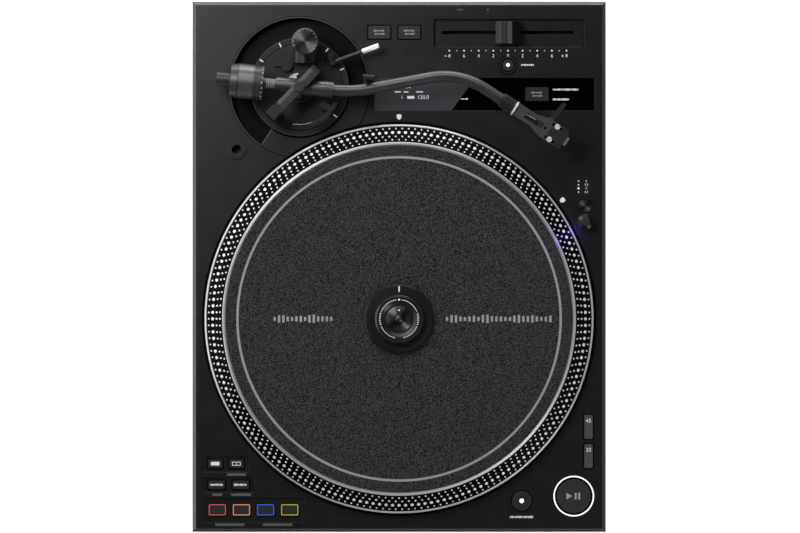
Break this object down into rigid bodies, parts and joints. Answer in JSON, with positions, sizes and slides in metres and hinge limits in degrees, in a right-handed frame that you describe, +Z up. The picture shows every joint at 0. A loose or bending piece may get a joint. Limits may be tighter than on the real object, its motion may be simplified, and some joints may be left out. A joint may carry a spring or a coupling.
{
  "type": "direct-drive turntable",
  "caption": "Direct-drive record player with an S-shaped tonearm, dotted platter, record clamp, pitch fader and performance buttons.",
  "frame": {"origin": "centre of the footprint, on the surface that the feet stand on", "axes": "+Z up, +X to the right, +Y to the rear where the tonearm is, -Y to the front edge"},
  "size_m": [0.353, 0.453, 0.1595],
  "materials": {
    "deck_paint": "fine-textured satin black paint on die-cast aluminium",
    "case_resin": "heavy moulded resin, fine grain",
    "zinc_steel": "zinc-plated screws",
    "nickel_metal": "nickel-plated sockets",
    "board_resin": "glass-fibre circuit board",
    "copper": "enamelled copper coils",
    "brass": "turned brass bearing sleeve",
    "window_black": "gloss smoked window",
    "lamp_housing": "satin black resin",
    "satin_black_metal": "satin black metal",
    "foot_rubber": "black rubber",
    "platter_aluminium": "turned and anodised aluminium",
    "mat_felt": "pressed felt with fine pile",
    "steel": "polished steel",
    "magnet": "sintered magnet",
    "clamp_black": "satin black anodised",
    "arm_base_paint": "satin black paint",
    "spun_black": "black anodised, spun finish",
    "gunmetal": "satin gunmetal",
    "tube_gunmetal": "satin gunmetal anodised tube",
    "weight_black": "satin black anodised, turned",
    "shell_black": "satin black",
    "cartridge_resin": "black moulded resin",
    "stylus_grip": "pale grey stylus grip",
    "fader_resin": "satin black resin cap",
    "button_black": "satin black resin",
    "pad_red": "lit silicone rubber pad",
    "pad_orange": "lit silicone rubber pad",
    "pad_blue": "lit silicone rubber pad",
    "pad_yellow": "lit silicone rubber pad"
  },
  "bodies": {
    "root": {"cabinet": "deck_paint", "lower_case": "case_resin", "case_screws": "zinc_steel", "rear_sockets": "nickel_metal", "circuit_boards": "board_resin", "motor_stator": "copper", "spindle_bearing": "brass", "display_window": "window_black", "strobe_lamp": "lamp_housing", "headshell_socket": "satin_black_metal"},
    "platter": {"platter": "platter_aluminium", "slipmat": "mat_felt", "spindle": "steel", "rotor_magnet": "magnet"},
    "clamp_base": {"clamp_base": "clamp_black"},
    "clamp_knob": {"clamp_knob": "clamp_black"},
    "height_ring": {"height_ring": "arm_base_paint"},
    "arm_base": {"arm_base": "arm_base_paint", "anti_skate_housing": "arm_base_paint", "gimbal_yoke": "gunmetal", "arm_rest": "arm_base_paint"},
    "anti_skate_dial": {"anti_skate_dial": "spun_black"},
    "base_lock_knob": {"base_lock_knob": "arm_base_paint"},
    "cue_lever": {"cue_lever": "satin_black_metal"},
    "cue_lifter": {"cue_lifter": "satin_black_metal"},
    "arm_clip": {"arm_clip": "satin_black_metal"},
    "gimbal": {"gimbal_ring": "steel"},
    "arm": {"arm_housing": "tube_gunmetal", "arm_tube": "tube_gunmetal", "headshell": "shell_black", "cartridge": "cartridge_resin", "stylus": "stylus_grip", "cartridge_screws": "steel"},
    "lock_nut": {"lock_nut": "satin_black_metal"},
    "counterweight_bush": {"counterweight_bush": "weight_black"},
    "counterweight": {"counterweight": "weight_black"},
    "force_dial": {"force_dial": "weight_black"},
    "fader_knob": {"fader_knob": "fader_resin"},
    "stylus_lamp": {"stylus_lamp": "lamp_housing"},
    "power_dial": {"power_dial": "satin_black_metal"},
    "start_button": {"start_button": "button_black"},
    "motor_button": {"motor_button": "button_black"},
    "reset_button": {"reset_button": "button_black"},
    "speed_33_button": {"speed_33_button": "button_black"},
    "speed_45_button": {"speed_45_button": "button_black"},
    "pad_1": {"pad_1": "pad_red"},
    "pad_2": {"pad_2": "pad_orange"},
    "pad_3": {"pad_3": "pad_blue"},
    "pad_4": {"pad_4": "pad_yellow"},
    "shift_button": {"shift_button": "button_black"},
    "grid_button": {"grid_button": "button_black"},
    "cue_button": {"cue_button": "button_black"},
    "sample_button": {"sample_button": "button_black"},
    "step_button": {"step_button": "button_black"},
    "range_button": {"range_button": "button_black"},
    "needle_button": {"needle_button": "button_black"},
    "foot_front_left": {"foot_front_left": "foot_rubber"},
    "foot_front_right": {"foot_front_right": "foot_rubber"},
    "foot_rear_left": {"foot_rear_left": "foot_rubber"},
    "foot_rear_right": {"foot_rear_right": "foot_rubber"}
  },
  "joints": [
    {"name": "platter_spin", "type": "hinge", "parent": "root", "child": "platter", "pos_m": [0, -0.0445, 0.114], "axis": [0, 0, 1], "continuous": true},
    {"name": "clamp_lift", "type": "slide", "parent": "platter", "child": "clamp_base", "axis": [0, 0, 1], "range_m": [0, 0.025]},
    {"name": "clamp_knob_turn", "type": "hinge", "parent": "clamp_base", "child": "clamp_knob", "pos_m": [0, -0.0445, 0.129], "axis": [0, 0, 1], "range_deg": [0, 60]},
    {"name": "arm_height", "type": "hinge", "parent": "root", "child": "height_ring", "pos_m": [-0.0851, 0.1535, 0.104], "axis": [0, 0, 1], "range_deg": [0, 181]},
    {"name": "arm_base_rise", "type": "slide", "parent": "root", "child": "arm_base", "axis": [0, 0, 1], "range_m": [0, 0.006]},
    {"name": "anti_skate_turn", "type": "hinge", "parent": "arm_base", "child": "anti_skate_dial", "pos_m": [-0.0801, 0.192, 0.154], "axis": [0, 0, 1], "range_deg": [0, 300]},
    {"name": "base_lock_turn", "type": "hinge", "parent": "arm_base", "child": "base_lock_knob", "pos_m": [-0.0958, 0.1718, 0.112], "axis": [0, 0, -1], "range_deg": [0, 90]},
    {"name": "cue_lever_turn", "type": "hinge", "parent": "arm_base", "child": "cue_lever", "pos_m": [-0.0572, 0.1754, 0.118], "axis": [0.342, -0.9397, 0], "range_deg": [0, 35.5]},
    {"name": "cue_lifter_rise", "type": "slide", "parent": "arm_base", "child": "cue_lifter", "axis": [0, 0, 1], "range_m": [0, 0.005]},
    {"name": "arm_clip_close", "type": "hinge", "parent": "arm_base", "child": "arm_clip", "pos_m": [-0.02608, 0.16127, 0.14675], "axis": [0.9954, -0.0958, 0], "range_deg": [0, 90]},
    {"name": "arm_swing", "type": "hinge", "parent": "arm_base", "child": "gimbal", "pos_m": [-0.0851, 0.1535, 0.1395], "axis": [0, 0, -1], "range_deg": [0, 42]},
    {"name": "arm_lift", "type": "hinge", "parent": "gimbal", "child": "arm", "pos_m": [-0.0851, 0.1535, 0.1395], "axis": [-0.0958, -0.9954, 0], "range_deg": [0, 10]},
    {"name": "lock_nut_turn", "type": "hinge", "parent": "arm", "child": "lock_nut", "pos_m": [0.08703, 0.14269, 0.1395], "axis": [0.8387, -0.5446, 0], "range_deg": [0, 60]},
    {"name": "counterweight_advance", "type": "slide", "parent": "arm", "child": "counterweight_bush", "axis": [0.9954, -0.0958, 0], "range_m": [-0.002, 0.004]},
    {"name": "counterweight_turn", "type": "hinge", "parent": "counterweight_bush", "child": "counterweight", "pos_m": [-0.12989, 0.15781, 0.1395], "axis": [0.9954, -0.0958, 0], "range_deg": [-362, 723]},
    {"name": "force_dial_turn", "type": "hinge", "parent": "counterweight", "child": "force_dial", "pos_m": [-0.11894, 0.15676, 0.1395], "axis": [0.9954, -0.0958, 0], "continuous": true},
    {"name": "fader_slide", "type": "slide", "parent": "root", "child": "fader_knob", "axis": [1, 0, 0], "range_m": [-0.05, 0.05]},
    {"name": "stylus_lamp_rise", "type": "slide", "parent": "root", "child": "stylus_lamp", "axis": [0, 0, 1], "range_m": [0, 0.012]},
    {"name": "power_dial_turn", "type": "hinge", "parent": "root", "child": "power_dial", "pos_m": [0.1593, 0.0386, 0.108], "axis": [0, 0, 1], "range_deg": [0, 40]},
    {"name": "start_button_press", "type": "slide", "parent": "root", "child": "start_button", "axis": [0, 0, -1], "range_m": [0, 0.001], "stiffness_N_per_m": 300, "springref_m": -0.001},
    {"name": "motor_button_press", "type": "slide", "parent": "root", "child": "motor_button", "axis": [0, 0, -1], "range_m": [0, 0.001], "stiffness_N_per_m": 300, "springref_m": -0.001},
    {"name": "reset_button_press", "type": "slide", "parent": "root", "child": "reset_button", "axis": [0, 0, -1], "range_m": [0, 0.001], "stiffness_N_per_m": 300, "springref_m": -0.001},
    {"name": "speed_33_button_press", "type": "slide", "parent": "root", "child": "speed_33_button", "axis": [0, 0, -1], "range_m": [0, 0.001], "stiffness_N_per_m": 300, "springref_m": -0.001},
    {"name": "speed_45_button_press", "type": "slide", "parent": "root", "child": "speed_45_button", "axis": [0, 0, -1], "range_m": [0, 0.001], "stiffness_N_per_m": 300, "springref_m": -0.001},
    {"name": "pad_1_press", "type": "slide", "parent": "root", "child": "pad_1", "axis": [0, 0, -1], "range_m": [0, 0.001], "stiffness_N_per_m": 300, "springref_m": -0.001},
    {"name": "pad_2_press", "type": "slide", "parent": "root", "child": "pad_2", "axis": [0, 0, -1], "range_m": [0, 0.001], "stiffness_N_per_m": 300, "springref_m": -0.001},
    {"name": "pad_3_press", "type": "slide", "parent": "root", "child": "pad_3", "axis": [0, 0, -1], "range_m": [0, 0.001], "stiffness_N_per_m": 300, "springref_m": -0.001},
    {"name": "pad_4_press", "type": "slide", "parent": "root", "child": "pad_4", "axis": [0, 0, -1], "range_m": [0, 0.001], "stiffness_N_per_m": 300, "springref_m": -0.001},
    {"name": "shift_button_press", "type": "slide", "parent": "root", "child": "shift_button", "axis": [0, 0, -1], "range_m": [0, 0.001], "stiffness_N_per_m": 300, "springref_m": -0.001},
    {"name": "grid_button_press", "type": "slide", "parent": "root", "child": "grid_button", "axis": [0, 0, -1], "range_m": [0, 0.001], "stiffness_N_per_m": 300, "springref_m": -0.001},
    {"name": "cue_button_press", "type": "slide", "parent": "root", "child": "cue_button", "axis": [0, 0, -1], "range_m": [0, 0.001], "stiffness_N_per_m": 300, "springref_m": -0.001},
    {"name": "sample_button_press", "type": "slide", "parent": "root", "child": "sample_button", "axis": [0, 0, -1], "range_m": [0, 0.001], "stiffness_N_per_m": 300, "springref_m": -0.001},
    {"name": "step_button_press", "type": "slide", "parent": "root", "child": "step_button", "axis": [0, 0, -1], "range_m": [0, 0.001], "stiffness_N_per_m": 300, "springref_m": -0.001},
    {"name": "range_button_press", "type": "slide", "parent": "root", "child": "range_button", "axis": [0, 0, -1], "range_m": [0, 0.001], "stiffness_N_per_m": 300, "springref_m": -0.001},
    {"name": "needle_button_press", "type": "slide", "parent": "root", "child": "needle_button", "axis": [0, 0, -1], "range_m": [0, 0.001], "stiffness_N_per_m": 300, "springref_m": -0.001},
    {"name": "foot_front_left_turn", "type": "hinge", "parent": "root", "child": "foot_front_left", "pos_m": [-0.1395, -0.1895, 0.01], "axis": [0, 0, 1], "range_deg": [-180, 180]},
    {"name": "foot_front_right_turn", "type": "hinge", "parent": "root", "child": "foot_front_right", "pos_m": [0.1395, -0.1895, 0.01], "axis": [0, 0, 1], "range_deg": [-180, 180]},
    {"name": "foot_rear_left_turn", "type": "hinge", "parent": "root", "child": "foot_rear_left", "pos_m": [-0.1395, 0.1895, 0.01], "axis": [0, 0, 1], "range_deg": [-180, 180]},
    {"name": "foot_rear_right_turn", "type": "hinge", "parent": "root", "child": "foot_rear_right", "pos_m": [0.1395, 0.1895, 0.01], "axis": [0, 0, 1], "range_deg": [-180, 180]}
  ],
  "couplings": [
    {"joint": "arm_height", "follows": "arm_base_rise", "rad_per_m": 523.6},
    {"joint": "cue_lever_turn", "follows": "cue_lifter_rise", "rad_per_m": 122.17},
    {"joint": "counterweight_turn", "follows": "counterweight_advance", "rad_per_m": 3141.6}
  ]
}
